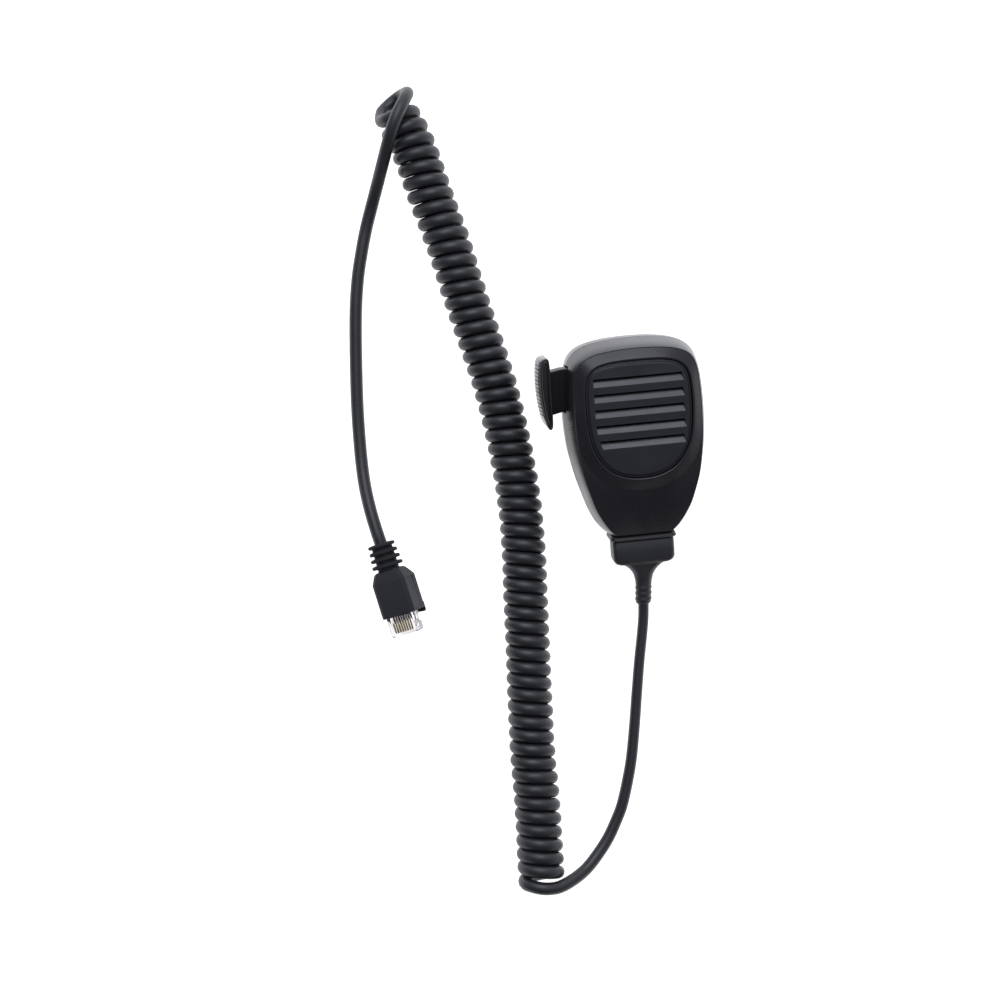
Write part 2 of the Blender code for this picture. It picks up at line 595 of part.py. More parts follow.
def main():
    clear_scene()
    slots = {
        "case": material("case_black", (0.022, 0.022, 0.026), 0.42),
        "panel": material("panel_black", (0.026, 0.026, 0.031), 0.46),
        "rubber": material("rubber_black", (0.028, 0.028, 0.031), 0.6),
        "jacket": material("jacket_black", (0.030, 0.031, 0.035), 0.5),
        "black": material("switch_black", (0.02, 0.02, 0.02), 0.4),
        "ivory": material("connector_ivory", (0.72, 0.68, 0.58), 0.45),
        "cloth": material("cloth_black", (0.012, 0.012, 0.013), 0.95),
        "board": material("board_green", (0.03, 0.16, 0.07), 0.45),
        "steel": material("zinc_steel", (0.62, 0.62, 0.64), 0.32, 1.0),
        "nickel": material("nickel_plate", (0.7, 0.69, 0.66), 0.22, 1.0),
        "gold": material("contact_gold", (0.85, 0.6, 0.22), 0.25, 1.0),
        "clear": material("clear_plastic", (0.86, 0.87, 0.88), 0.12),
    }
    mic = empty("mic", frame_matrix(REST_RIGHT, REST_UP, REST_OUT, MIC_AT))
    front_case(mic, slots["case"])
    rear_case(mic, slots["case"])
    grille_panel(mic, slots["panel"])
    strain_relief(mic, slots["rubber"])
    ptt_button(mic, slots["case"])
    ptt_switch(mic, -5.7, slots)
    ptt_spring(mic, slots["steel"])
    fasteners(mic, slots)
    hang_up(mic, slots)
    sound_parts(mic, slots)
    electronics(mic, slots)
    turn, roll = math.radians(PLUG_TURN), math.radians(PLUG_ROLL)
    across = Vector((math.cos(turn), math.sin(turn), 0.0))
    back = Vector((-math.sin(turn), math.cos(turn), 0.0))
    up = Vector((0.0, 0.0, 1.0))
    side = math.cos(roll) * across + math.sin(roll) * up
    out = math.cos(roll) * up - math.sin(roll) * across
    plug = empty("plug", frame_matrix(side, back, out, PLUG_AT))
    plug_parts(plug, slots)
    cord(slots)


main()
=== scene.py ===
import json
import math

import bmesh
import bpy
from mathutils import Matrix, Vector, noise


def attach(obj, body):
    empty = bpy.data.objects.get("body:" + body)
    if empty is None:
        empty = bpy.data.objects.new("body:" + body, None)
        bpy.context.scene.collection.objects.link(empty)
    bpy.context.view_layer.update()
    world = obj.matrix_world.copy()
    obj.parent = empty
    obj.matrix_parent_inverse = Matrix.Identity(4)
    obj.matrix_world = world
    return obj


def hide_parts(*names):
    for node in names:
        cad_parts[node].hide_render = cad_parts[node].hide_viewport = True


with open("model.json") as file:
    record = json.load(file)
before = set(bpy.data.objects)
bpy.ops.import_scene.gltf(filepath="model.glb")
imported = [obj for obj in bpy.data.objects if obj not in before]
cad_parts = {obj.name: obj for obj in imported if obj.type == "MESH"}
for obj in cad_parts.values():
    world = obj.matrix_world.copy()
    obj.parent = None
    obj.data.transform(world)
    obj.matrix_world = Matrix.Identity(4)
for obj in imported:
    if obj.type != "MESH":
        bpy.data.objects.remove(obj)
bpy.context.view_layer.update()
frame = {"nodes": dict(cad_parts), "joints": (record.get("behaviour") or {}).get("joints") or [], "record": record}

MM = 0.001

# ---------------------------------------------------------------- placing frames
# The microphone's own frame: u across, v up the case, w out of the front, in mm.
# The plug's own frame: x across, y back towards the cord, z out of the contact side.
JOINTS = {j["name"]: j for j in frame["joints"]}
MOUNTS = {m["name"]: m for m in frame["record"]["mounts"]}
STUD_V, STUD_FACE = 14.0, -24.0
NOSE, NOSE_Z = -37.2, 0.4


def axes(first, second, at, local_at, second_is):
    """Matrix in millimetres from the x axis, a second axis (y or z) and one known point."""
    first, second = Vector(first).normalized(), Vector(second).normalized()
    if second_is == "z":
        z, x = second, first
        y = z.cross(x).normalized()
    else:
        y, x = second, first
        z = x.cross(y).normalized()
    turn = Matrix((x, y, z)).transposed()
    start = Vector(at) - turn @ (local_at * MM)
    return Matrix.Translation(start) @ turn.to_4x4() @ Matrix.Scale(MM, 4)


MIC = axes(
    JOINTS["push_to_talk_press"]["axis"],
    -Vector(MOUNTS["hang_up_button_face"]["axis"]),
    MOUNTS["hang_up_button_face"]["pos_m"], Vector((0.0, STUD_V, STUD_FACE)), "z",
)
PLUG = axes(
    JOINTS["plug_latch_squeeze"]["axis"],
    -Vector(MOUNTS["plug_nose"]["axis"]),
    MOUNTS["plug_nose"]["pos_m"], Vector((0.0, NOSE, NOSE_Z)), "y",
)

# ---------------------------------------------------------------- driving dimensions
# Rows of the case, right half from the top centre to the neck: the parting line, the edge of
# the front face, the foot of the raised surround and the window for the grille panel.
CASE_ROWS = (
    ((0.0, 24.95), (0.0, 22.5), (0.0, 22.2), (0.0, 18.0)),
    ((5.0, 24.85), (4.6, 22.4), (4.6, 22.1), (4.2, 17.97)),
    ((10.0, 24.5), (9.2, 22.1), (9.1, 21.8), (8.2, 17.8)),
    ((15.5, 23.6), (14.4, 21.4), (14.3, 21.1), (12.2, 17.3)),
    ((19.5, 22.3), (18.0, 20.3), (17.8, 20.05), (15.4, 16.4)),
    ((22.4, 20.5), (20.6, 18.9), (20.4, 18.7), (17.7, 14.9)),
    ((24.5, 18.0), (22.4, 16.9), (22.15, 16.75), (19.2, 13.0)),
    ((25.7, 15.0), (23.4, 14.3), (23.15, 14.2), (20.0, 10.7)),
    ((26.6, 11.2), (24.1, 10.8), (23.85, 10.75), (20.5, 7.5)),
    ((27.2, 6.0), (24.5, 5.8), (24.25, 5.75), (20.7, 3.6)),
    ((27.6, 0.0), (24.7, 0.0), (24.45, -0.2), (20.75, -0.6)),
    ((27.6, -6.0), (24.7, -6.0), (24.4, -6.2), (20.5, -5.6)),
    ((27.3, -12.0), (24.5, -11.8), (24.1, -11.8), (20.0, -10.2)),
    ((26.7, -18.0), (24.0, -17.6), (23.2, -16.9), (18.9, -14.9)),
    ((25.6, -24.0), (23.2, -23.4), (21.4, -21.5), (17.2, -18.8)),
    ((24.2, -30.0), (22.1, -29.3), (18.7, -25.4), (14.9, -22.1)),
    ((22.4, -36.0), (20.3, -35.4), (15.7, -28.3), (12.6, -24.4)),
    ((20.8, -41.0), (18.5, -40.6), (12.7, -30.3), (10.3, -25.8)),
    ((18.6, -45.8), (16.1, -45.2), (10.0, -31.5), (8.2, -26.7)),
    ((16.2, -49.2), (13.9, -48.7), (7.5, -32.3), (6.3, -27.3)),
    ((14.4, -51.0), (12.4, -50.5), (5.6, -32.7), (4.8, -27.6)),
    ((13.2, -51.9), (11.6, -51.3), (4.3, -32.9), (3.7, -27.8)),
    ((11.9, -52.3), (10.7, -51.8), (3.2, -33.0), (2.8, -27.9)),
    ((6.0, -52.3), (5.6, -51.9), (1.6, -33.1), (1.4, -28.0)),
    ((0.0, -52.3), (0.0, -51.9), (0.0, -33.1), (0.0, -28.0)),
)
FRONT_TOP, FRONT_NECK_DROP = 13.6, 7.0
BACK, BACK_NECK_RISE = 17.0, 7.4
SURROUND_FRONT = 16.0
SURROUND_RISE = 0.9
WALL = 2.0
PARTING = 0.03
LOUVRES = (12.0, 6.0, 0.0, -6.2, -12.2)
CASE_SCREWS = ((-18.2, 16.6), (18.2, 16.6), (-15.0, -38.0), (15.0, -38.0))
CORD_W = -1.5
SWITCH_V = 6.6

# Cord, in mm on the floor. The coil gives its centre line, the radius of that line's turns, how
# far its two mouths flare, how much thicker the strand is in it, and how the turns are spaced.
CORD_D = 5.1
COIL_R = 6.2
COIL_FLARE = 0.5
COIL_STRAND = 1.06
TURNS = 57.25
PITCH_GROWTH = 0.065
END_GAP = 0.9
COIL_Z = 8.9
COIL_ROUTE = (
    (-87.8, 140.5), (-81.1, 128.0), (-73.5, 106.8), (-67.5, 91.0), (-62.4, 75.1), (-57.2, 59.3),
    (-51.7, 43.4), (-46.9, 27.6), (-42.4, 7.8), (-39.0, -12.0), (-37.2, -31.8), (-36.4, -51.6),
    (-35.5, -71.4), (-34.7, -91.2), (-33.7, -111.0), (-31.9, -130.8), (-30.7, -150.6), (-30.0, -164.9),
)
MIC_TAIL = (
    (10.6, -53.2, 3.8), (10.6, -58.5, 3.0), (10.1, -65.3, 2.7), (9.0, -76.2, 2.6),
    (8.0, -89.0, 2.6), (7.1, -101.7, 2.6), (5.9, -114.5, 2.6), (4.3, -124.1, 2.6),
    (2.1, -133.7, 2.6), (-0.3, -140.0, 2.7), (-3.3, -146.4, 3.3), (-7.1, -152.2, 4.6),
    (-12.0, -158.0, 7.2), (-17.6, -162.0, 10.8), (-23.6, -164.6, 13.9),
)
PLUG_TAIL = (
    (-93.7, 141.6, 5.4), (-91.3, 144.9, 3.3), (-87.3, 148.2, 3.6), (-84.4, 149.2, 7.2),
    (-83.1, 148.4, 12.8), (-84.0, 145.0, 18.2), (-86.2, 139.8, 21.1), (-88.5, 134.0, 21.1),
    (-90.5, 127.8, 18.8), (-92.5, 121.4, 14.8), (-94.9, 113.9, 9.0), (-97.5, 105.5, 4.4),
    (-100.0, 96.1, 2.7), (-101.8, 86.5, 2.6), (-103.2, 77.0, 2.6), (-104.0, 65.4, 2.6),
    (-104.1, 51.4, 2.6), (-103.7, 31.9, 2.6), (-103.0, 17.9, 2.8), (-101.7, 3.5, 4.0),
    (-100.1, -7.0, 6.2), (-97.7, -16.7, 9.0), (-94.9, -25.6, 10.8),
)

# Camera above the floor and studio light; the wall levels run from straight down to straight up.
CAMERA_AT = (-46.55, -12.0, 900.0)
VIEW_WIDTH = 400.0
WALL_LEVELS = ((0.0, 1.0), (0.22, 1.0), (0.36, 0.85), (0.5, 0.8), (0.7, 0.9), (1.0, 1.1))
BRIGHT_SIDE = (0.35, 0.94, 0.0)
SOFT_BOX_SIDE = (-0.06, 0.60, 0.80)
SOFT_BOX_POWER = 9.5
LIGHT_TINT = (0.95, 0.97, 1.06)


# ---------------------------------------------------------------- curves and meshes
def smooth(points, parts=8, before=None, after=None):
    """Curve through the given points; before and after are where it comes from and goes to."""
    given = [Vector(p) for p in points]
    first = Vector(before) if before else 2 * given[0] - given[1]
    last = Vector(after) if after else 2 * given[-1] - given[-2]
    given = [first] + given + [last]
    dense = []
    for i in range(1, len(given) - 2):
        a, b, c, d = given[i - 1:i + 3]
        for k in range(parts):
            t = k / parts
            dense.append(0.5 * (2 * b + (c - a) * t + (2 * a - 5 * b + 4 * c - d) * t * t
                                + (3 * b - a - 3 * c + d) * t ** 3))
    return dense + [given[-2]]


def closed_smooth(points, parts=6):
    """Smooth closed loop through flat points."""
    given = [(*p, 0.0) for p in points]
    dense = smooth(given + given[:1], parts, before=given[-1], after=given[1])
    return [(p.x, p.y) for p in dense[:-1]]


def even(points, count):
    """count + 1 points at equal distances along a polyline."""
    lengths = [0.0]
    for p, q in zip(points, points[1:]):
        lengths.append(lengths[-1] + (q - p).length)
    placed, k = [], 0
    for i in range(count + 1):
        wanted = lengths[-1] * i / count
        while k < len(points) - 2 and lengths[k + 1] < wanted:
            k += 1
        share = (wanted - lengths[k]) / max(1e-9, lengths[k + 1] - lengths[k])
        placed.append(points[k].lerp(points[k + 1], min(1.0, max(0.0, share))))
    return placed


def length_of(points):
    return sum((q - p).length for p, q in zip(points, points[1:]))


def link(obj):
    bpy.context.scene.collection.objects.link(obj)
    return obj


def solid(name, matrix, points, faces, weld=False):
    """One mesh with its faces turned outwards; welded where a ring shrinks to a point."""
    mesh = bpy.data.meshes.new(name)
    mesh.from_pydata([matrix @ Vector(p) for p in points], [], faces)
    tidy = bmesh.new()
    tidy.from_mesh(mesh)
    if weld:
        bmesh.ops.remove_doubles(tidy, verts=tidy.verts, dist=1e-7)
    bmesh.ops.recalc_face_normals(tidy, faces=tidy.faces)
    tidy.to_mesh(mesh)
    tidy.free()
    return link(bpy.data.objects.new(name, mesh))


def mesh_piece(name, matrix, points, faces, material, slot, body="microphone", angle=38.0):
    """A solid that needs no Booleans, finished as a piece."""
    made = solid(name, matrix, points, faces, weld=True)
    finish_piece(made, material, body, angle)
    return made


def finish_piece(made, material, body, angle):
    """Material, crisp edges above the angle, and the body that the piece moves with."""
    made.data.shade_smooth()
    made.data.set_sharp_from_angle(angle=math.radians(angle))
    made.data.materials.clear()
    made.data.materials.append(material)
    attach(made, body)


def combine(made, cutters, operation="DIFFERENCE"):
    """Booleans applied at once, in order, and their helpers removed."""
    for other in cutters:
        step = made.modifiers.new("cut", "BOOLEAN")
        step.operation = operation
        step.solver = "EXACT"
        step.object = other
    bpy.context.view_layer.update()
    graph = bpy.context.evaluated_depsgraph_get()
    done = bpy.data.meshes.new_from_object(made.evaluated_get(graph), depsgraph=graph)
    made.modifiers.clear()
    made.data = done
    for other in cutters:
        bpy.data.objects.remove(other, do_unlink=True)
    return made


def loft(rings, caps=True, closed=False):
    """Points and faces of a skin through rings of equal count."""
    count = len(rings[0])
    points = [p for ring in rings for p in ring]
    faces = []
    if caps and not closed:
        faces = [tuple(range(count)), tuple(range(len(points) - count, len(points)))]
    last = len(rings) if closed else len(rings) - 1
    for k in range(last):
        after = (k + 1) % len(rings)
        for i in range(count):
            j = (i + 1) % count
            faces.append((k * count + i, k * count + j, after * count + j, after * count + i))
    return points, faces


def box(low, high):
    """Points and faces of a block between two corners."""
    (a, b, c), (d, e, f) = low, high
    ring = ((a, b), (d, b), (d, e), (a, e))
    return loft([[(x, y, z) for x, y in ring] for z in (c, f)])


def rounded(half_x, half_y, radius, steps=8):
    """Rectangle with round corners, about the middle."""
    corners = ((1, 1, 0), (-1, 1, 90), (-1, -1, 180), (1, -1, 270))
    outline = []
    for sx, sy, start in corners:
        for k in range(steps + 1):
            turn = math.radians(start + 90 * k / steps)
            outline.append((sx * (half_x - radius) + radius * math.cos(turn),
                            sy * (half_y - radius) + radius * math.sin(turn)))
    return outline


def moved(outline, dx, dy):
    return [(x + dx, y + dy) for x, y in outline]


def circle(radius, sides, centre=(0.0, 0.0)):
    """Flat ring of points about a centre."""
    turns = [2 * math.pi * k / sides for k in range(sides)]
    return [(centre[0] + radius * math.cos(a), centre[1] + radius * math.sin(a)) for a in turns]


def lathe(profile, sides, centre=(0.0, 0.0), axis="w", closed=False):
    """Turned shape from (radius, height) rows about an axis; closed when it has a bore."""
    rings = []
    for radius, along in profile:
        rings.append([{"w": (x, y, along), "u": (along, x, y)}[axis]
                      for x, y in circle(radius, sides, centre)])
    return loft(rings, closed=closed)


# ---------------------------------------------------------------- camera and cord
def add_camera():
    data = bpy.data.cameras.new("camera")
    data.sensor_width = 36.0
    data.lens = 36.0 * CAMERA_AT[2] / VIEW_WIDTH
    data.clip_start = 0.01
    camera = link(bpy.data.objects.new("camera", data))
    camera.location = Vector(CAMERA_AT) * MM
    bpy.context.scene.camera = camera


def helix(centre, steps=1800):
    """Left-hand helix along the coil's centre line, from the microphone end, resting on the floor."""
    centre = even(list(reversed(centre)), steps)
    step = length_of(centre) / steps
    wound = [0.0]
    for i in range(steps):
        opened = 1.0 + END_GAP * max(0.0, 1.0 - i * step / 5.0)
        wound.append(wound[-1] + 1.0 / (opened * (1.0 + PITCH_GROWTH * i / steps)))
    points = []
    for i, place in enumerate(centre):
        share = i / steps
        angle = 2 * math.pi * (0.25 + TURNS * wound[i] / wound[-1])
        along = (centre[min(steps, i + 1)] - centre[max(0, i - 1)]).normalized()
        right = along.cross(Vector((0, 0, 1))).normalized()
        flare = COIL_FLARE * abs(2 * share - 1) ** 1.5
        reach = COIL_R + flare + 0.10 * noise.noise(Vector((share * 60, 3.1, 0.7)))
        lift = Vector((0, 0, math.sin(angle) * reach + flare))
        points.append(place + reach * math.cos(angle) * right + lift)
    return points


def soften(route, at, reach=4, times=5):
    """Soften the bend where two runs of the cord meet."""
    for _ in range(times):
        for i in range(at - reach, at + reach):
            route[i] = (route[i - 1] + 2 * route[i] + route[i + 1]) / 4


def cord_points():
    """Tail from the gland, coil, and tail into the boot, each with its own point spacing."""
    coil = helix(smooth([(x, y, COIL_Z) for x, y in COIL_ROUTE], 24))
    coil = even(coil, int(length_of(coil) / 1.6))
    onward = coil[0] + (coil[1] - coil[0]).normalized() * 6.0
    tail = even(smooth(MIC_TAIL + (tuple(coil[0]),), 12, after=onward), 110)[:-1]
    came = coil[-1] + (coil[-2] - coil[-1]).normalized() * 5.0
    into_boot = [PLUG @ Vector((0.0, y, 0.0)) / MM for y in (1.0, -3.0)]
    plug = even(smooth([coil[-1], *PLUG_TAIL, *into_boot], 12, before=came), 170)[1:]
    route = tail + coil + plug
    for join in (len(tail), len(tail) + len(coil)):
        soften(route, join)
    return route[:len(tail)], route[len(tail):-len(plug)], route[-len(plug):]


def add_cord(jacket):
    """The whole cord as one curve; it is slimmer where the gland grips it."""
    tail, coil, plug = cord_points()
    route = tail + coil + plug
    curve = bpy.data.curves.new("cord", "CURVE")
    curve.dimensions = "3D"
    line = curve.splines.new("POLY")
    line.points.add(len(route) - 1)
    for i, (point, place) in enumerate(zip(line.points, route)):
        point.co = (*(place * MM), 1.0)
        into, out = i / len(tail), (len(route) - i) / len(plug)
        if into < 1:
            point.radius = 0.82 + 0.18 * into ** 1.5
        else:
            in_coil = min(1.0, 4.0 * (into - 1), 8.0 * max(0.0, out - 1))
            point.radius = 1.0 + (COIL_STRAND - 1.0) * in_coil
    line.use_smooth = True
    curve.bevel_depth = CORD_D * MM / 2
    curve.bevel_resolution = 5
    curve.use_fill_caps = True
    curve.materials.append(jacket)
    made = link(bpy.data.objects.new("cord", curve))
    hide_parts("cord_coil", "cord_mic_tail", "cord_plug_tail")
    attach(made, "microphone")
    return made, length_of(route) * MM, route[0] * MM


# ---------------------------------------------------------------- case
def ease(x):
    """Smooth step from 0 to 1."""
    x = min(1.0, max(0.0, x))
    return x * x * (3 - 2 * x)


def dense_half(column):
    """Smooth right half of one column of the case table, mirrored at its two ends."""
    given = [Vector((*row[column], 0.0)) for row in CASE_ROWS]
    before, after = (Vector((-p.x, p.y, 0.0)) for p in (given[1], given[-2]))
    return [(max(0.0, p.x), p.y) for p in smooth(given, 5, before, after)]


def normals(half):
    """Outward directions along a half outline."""
    found = []
    for i in range(len(half)):
        ax, ay = half[i - 1] if i else (-half[1][0], half[1][1])
        bx, by = half[i + 1] if i + 1 < len(half) else (-half[-2][0], half[-2][1])
        size = math.hypot(bx - ax, by - ay)
        found.append(((ay - by) / size, (bx - ax) / size))
    return found


def grown(half, more):
    """Half outline moved outwards; the ends stay on the centre line."""
    out = [(x + more * nx, y + more * ny) for (x, y), (nx, ny) in zip(half, normals(half))]
    return [(0.0, out[0][1])] + [(max(0.0, x), y) for x, y in out[1:-1]] + [(0.0, out[-1][1])]


def shrunk(half, amount, end_shift=0.0):
    """Case outline moved inwards; towards the neck only its width shrinks."""
    found = []
    for (x, y), (nx, ny) in zip(half, normals(half)):
        m = ease((-40.5 - y) / 8.0)
        inside = (x - amount * nx, y - amount * ny)
        scaled = (x * (1 - amount / 13.0), y + end_shift * ease((-46.5 - y) / 5.0))
        found.append((max(0.0, inside[0] * (1 - m) + scaled[0] * m), inside[1] * (1 - m) + scaled[1] * m))
    return [(0.0, found[0][1])] + found[1:]


def blend_half(a, b, s):
    """Outline at share s of the way from a to b."""
    return [(p[0] + (q[0] - p[0]) * s, p[1] + (q[1] - p[1]) * s) for p, q in zip(a, b)]


def whole(half, height):
    """Closed ring in space from a half outline; height is a number or a function of its place."""
    right = []
    for i, (x, y) in enumerate(half):
        w = height(i, x, y) if callable(height) else height
        right.append((x, y, w))
    return right + [(-x, y, w) for x, y, w in reversed(right[1:-1])]


def neck_share(v, start, span):
    """How far down the case v is, from 0 at the start to 1 a span below it."""
    return min(1.0, max(0.0, (start - v) / span))


def front_height(v):
    """Edge of the front face, which drops towards the neck."""
    return FRONT_TOP - FRONT_NECK_DROP * neck_share(v, -22.0, 30.8) ** 2.1


def back_height(v):
    """Back face, which rises towards the neck."""
    return -BACK + BACK_NECK_RISE * neck_share(v, -2.0, 50.8) ** 1.3


def openings(stem_half):
    """Cutters for the paddle's stem and for the gland, through the wall of either shell."""
    stem, cord = moved(rounded(9.1, stem_half, 0.7), 7.0, 0.0), moved(rounded(6.3, 5.0, 1.0), 0.0, CORD_W)
    return [solid("stem_hole", MIC, *loft([[(u, v, w) for v, w in stem] for u in (-31.0, -21.0)])),
            solid("cord_hole", MIC, *loft([[(u, v, w) for u, w in cord] for v in (-55.0, -49.5)]))]


def case_front(material):
    """Front shell: flat-sided wall, crisp edge, swelling face, raised surround and inside."""
    outline, edge, foot, window = (dense_half(c) for c in range(4))
    edge_w = [front_height(y) for _, y in edge]
    gaps = [ease(math.hypot(p[0] - q[0], p[1] - q[1]) / 16.0) for p, q in zip(edge, foot)]
    rings = []
    for t in (0.0, 0.012, 0.1, 0.25, 0.4, 0.55, 0.68, 0.79, 0.88, 0.95, 0.985, 1.0):
        half = blend_half(outline, edge, 0.05 if t == 0.0 else 0.75 * t + 0.25 * t ** 5.0)
        rings.append(whole(half, lambda i, x, y, t=t: PARTING + t * (edge_w[i] - PARTING)))
    for s in (0.03, 0.12, 0.28, 0.46, 0.64, 0.82, 0.95, 1.0):
        swell = 1.3 * s * (1 - s) + SURROUND_RISE * s * s
        rings.append(whole(blend_half(edge, foot, s),
                           lambda i, x, y, swell=swell: front_height(y) + swell * gaps[i]))
    rim = grown(window, 0.75)
    low = [front_height(y) + SURROUND_RISE * gap for (_, y), gap in zip(foot, gaps)]
    for s in (0.05, 0.5, 0.94):
        half = blend_half(foot, rim, s)
        rings.append(whole(half, lambda i, x, y, s=s: low[i] + s * (SURROUND_FRONT - low[i])))
    for more, w in ((0.7, SURROUND_FRONT), (0.4, SURROUND_FRONT + 0.02), (0.12, 15.9), (0.0, 15.6),
                    (0.0, 14.2), (0.0, 10.4), (1.4, 9.6)):
        rings.append(whole(grown(window, more), w))
    rings.append(whole(shrunk(edge, 1.8, WALL), lambda i, x, y: front_height(y) - 2.4))
    for share in (0.35, 0.0):
        rings.append(whole(shrunk(outline, WALL, WALL), lambda i, x, y: PARTING + share * front_height(y)))
    made = solid("case_front", MIC, *loft(rings, closed=True))
    combine(made, openings(4.0))
    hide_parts("front_case")
    finish_piece(made, material, "microphone", 24.0)
    return made


def spoke(half, s, radius=1.9):
    """Outline drawn in towards the screw of the hang-up stud."""
    found = []
    for x, y in half:
        dx, dy = x, y - STUD_V
        size = math.hypot(dx, dy)
        reach = radius + (size - radius) * (1 - s)
        found.append((dx / size * reach, STUD_V + dy / size * reach))
    return found


def screw_seat(v):
    """Level of a case screw's bore floor: deep at the top, following the back at the neck."""
    return -15.6 if v > 0 else back_height(v) + 1.4


def case_rear(material):
    """Rear shell: rounded wall, back face round the stud's screw hole, inside and screw posts."""
    outline = dense_half(0)
    rings = []
    for t in (0.0, 0.012, 0.12, 0.28, 0.44, 0.58, 0.7, 0.8, 0.88, 0.94, 0.98, 1.0):
        amount = 0.15 if t == 0.0 else 4.2 * (1 - math.sqrt(max(0.0, 1 - (0.96 * t) ** 2.6)))
        half = shrunk(outline, min(4.2, amount))
        low = [back_height(y) for _, y in half]
        rings.append(whole(half, lambda i, x, y, t=t: -PARTING + t * (low[i] + PARTING)))
    edge = shrunk(outline, 4.2)
    for s in (0.06, 0.25, 0.5, 0.75, 0.94, 1.0):
        rings.append(whole(spoke(edge, s), lambda i, x, y: back_height(y)))
    inner = shrunk(outline, 5.4, WALL)
    for s in (1.0, 0.6, 0.0):
        rings.append(whole(spoke(inner, s), lambda i, x, y: back_height(y) + WALL))
    for share in (0.6, 0.0):
        rings.append(whole(shrunk(outline, WALL, WALL), lambda i, x, y: -PARTING + share * back_height(y)))
    made = solid("case_rear", MIC, *loft(rings, closed=True))
    posts, holes = [], []
    for i, at in enumerate(CASE_SCREWS):
        low = screw_seat(at[1])
        bore = ((2.95, -20.0), (2.7, low - 0.6), (2.7, low + 3.4))
        posts.append(solid(f"post_{i}", MIC, *lathe(((3.3, low), (3.3, -0.45)), 40, at)))
        holes.append(solid(f"bore_{i}", MIC, *lathe(bore, 40, at)))
    combine(made, posts, "UNION")
    combine(made, holes + openings(3.8))
    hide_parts("rear_case")
    finish_piece(made, material, "microphone", 30.0)
    return made


def louvre_cutter(index, v):
    """Sound slot along the top edge and a floor that rises to the surface below it."""
    def left(y):
        return -17.2 + 0.019 * max(0.0, -5.0 - y) ** 2

    def right(y, lower):
        return (17.1 if y > -10 else 16.5) + 0.8 * math.sin(math.pi * 0.5 * lower)

    side = ((v, 17.2), (v, 11.4), (v - 0.7, 11.4), (v - 0.7, 14.4), (v - 0.9, 14.6),
            (v - 3.25, 15.72), (v - 3.25, 17.2))
    depth = (0.0, 0.0, 0.3, 0.3, 0.5, 1.0, 1.0)
    ends = [[(left(y), y, w) for y, w in side],
            [(right(y, d), y, w) for (y, w), d in zip(side, depth)]]
    return solid(f"louvre_{index}", MIC, *loft(ends))


def grille_panel(material):
    """Panel with a shallow channel round its edge and five louvres."""
    window = dense_half(3)
    rings = [whole(grown(window, -3.4), 13.2), whole(grown(window, -3.4), 10.4)]
    for more, w in ((1.1, 10.4), (1.1, 11.4), (-0.25, 11.6), (-0.25, 14.9), (-0.35, 15.08),
                    (-0.5, 15.14), (-0.85, 15.14), (-0.98, 15.2), (-1.1, 15.42), (-1.3, 15.62),
                    (-1.6, 15.72), (-2.1, 15.76)):
        rings.append(whole(grown(window, more), w))
    rings.append(whole(grown(window, -6.0), 15.8))
    made = solid("panel", MIC, *loft(rings))
    combine(made, [louvre_cutter(i, v) for i, v in enumerate(LOUVRES)])
    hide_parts("grille_panel")
    finish_piece(made, material, "microphone", 24.0)
    return made


# ---------------------------------------------------------------- push-to-talk paddle
PADDLE_FLARE = 0.065
PADDLE = (
    (-33.4, 20.3), (-34.7, 19.9), (-35.7, 18.6), (-36.3, 15.6), (-36.6, 11.0), (-36.6, 7.0),
    (-36.35, 3.0), (-35.9, -1.0), (-35.2, -4.6), (-34.5, -6.9), (-33.7, -7.7), (-33.0, -7.3),
    (-32.6, -6.2), (-32.4, -3.0), (-32.3, 2.0), (-32.2, 8.0), (-32.2, 14.0), (-32.3, 18.6),
    (-32.7, 19.9),
)


def inset_loop(points, amount):
    """Closed loop drawn inwards by an amount."""
    found, n = [], len(points)
    for i, (x, y) in enumerate(points):
        ax, ay = points[i - 1]
        bx, by = points[(i + 1) % n]
        size = math.hypot(bx - ax, by - ay)
        found.append((x - amount * (by - ay) / size, y + amount * (bx - ax) / size))
    return found


def paddle(material):
    """Bowed paddle with finger grooves on its outside and a raised pad at its end."""
    outline = closed_smooth(PADDLE)
    rings = []
    for w, inset in ((-7.0, 1.2), (-6.95, 0.9), (-6.7, 0.4), (-6.2, 0.1), (-5.5, 0.0), (-2.0, 0.0),
                     (2.0, 0.0), (5.6, 0.0), (6.0, 0.08), (6.22, 0.25), (6.28, 0.5), (6.26, 0.8),
                     (6.3, 0.86), (6.5, 0.95), (6.68, 1.1), (6.8, 1.3), (6.86, 1.55)):
        ring = []
        for u, v in inset_loop(outline, inset):
            flare = -PADDLE_FLARE * (6.0 - w) * ease((-33.2 - u) / 2.4)
            ring.append((u + flare, v, w))
        rings.append(ring)
    made = solid("ptt_paddle", MIC, *loft(rings))
    cutters = []
    for k in range(14):
        v = 17.2 - 1.5 * k
        deep = -36.25 + 0.0085 * (v - 9.0) ** 2
        notch = ((-41.0, v + 0.42), (deep - 0.9, v + 0.42), (deep, v + 0.08), (deep, v - 0.08),
                 (deep - 0.9, v - 0.42), (-41.0, v - 0.42))
        groove = [[(u + PADDLE_FLARE * (w - 6.0), a, w) for u, a in notch] for w in (-9.0, 9.0)]
        cutters.append(solid(f"groove_{k}", MIC, *loft(groove)))
    combine(made, cutters)
    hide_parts("ptt_button")
    finish_piece(made, material, "push_to_talk", 32.0)
    return made


